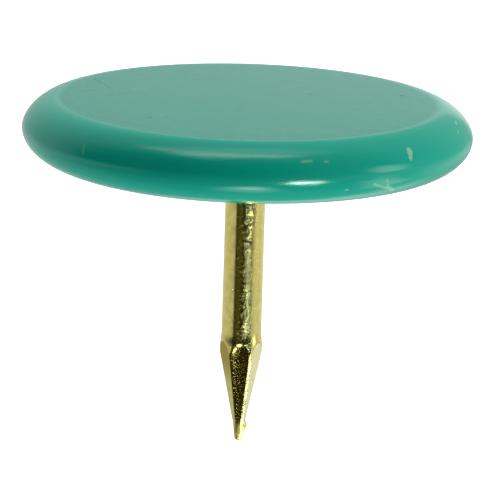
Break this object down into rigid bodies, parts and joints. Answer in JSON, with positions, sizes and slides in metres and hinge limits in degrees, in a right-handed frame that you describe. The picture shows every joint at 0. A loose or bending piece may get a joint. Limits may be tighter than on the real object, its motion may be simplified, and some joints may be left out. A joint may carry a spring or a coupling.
{
  "type": "thumb tack",
  "caption": "Thumb tack with a flat disc-shaped moulded plastic head, rounded at the rim, on a short brass-plated steel pin with a pinch-cut point.",
  "frame": {"origin": "on the pin's axis, in the plane of the head's underside, where the head seats on a board", "axes": "+Z along the pin's axis from the point towards the thumb face; the part is alike all round this axis, apart from the flats of the point and the grip marks"},
  "size_m": [0.0126, 0.0126, 0.0099],
  "materials": {
    "head_plastic": "moulded teal green plastic, glossy on the rolled rim and finely scuffed on the flat thumb face",
    "pin_plating": "thin pale brass plating over drawn steel wire, slightly grainy, with bright edges at the pinch-cut point"
  },
  "bodies": {
    "root": {"moulded_head": "head_plastic", "pin": "pin_plating"}
  },
  "joints": []
}
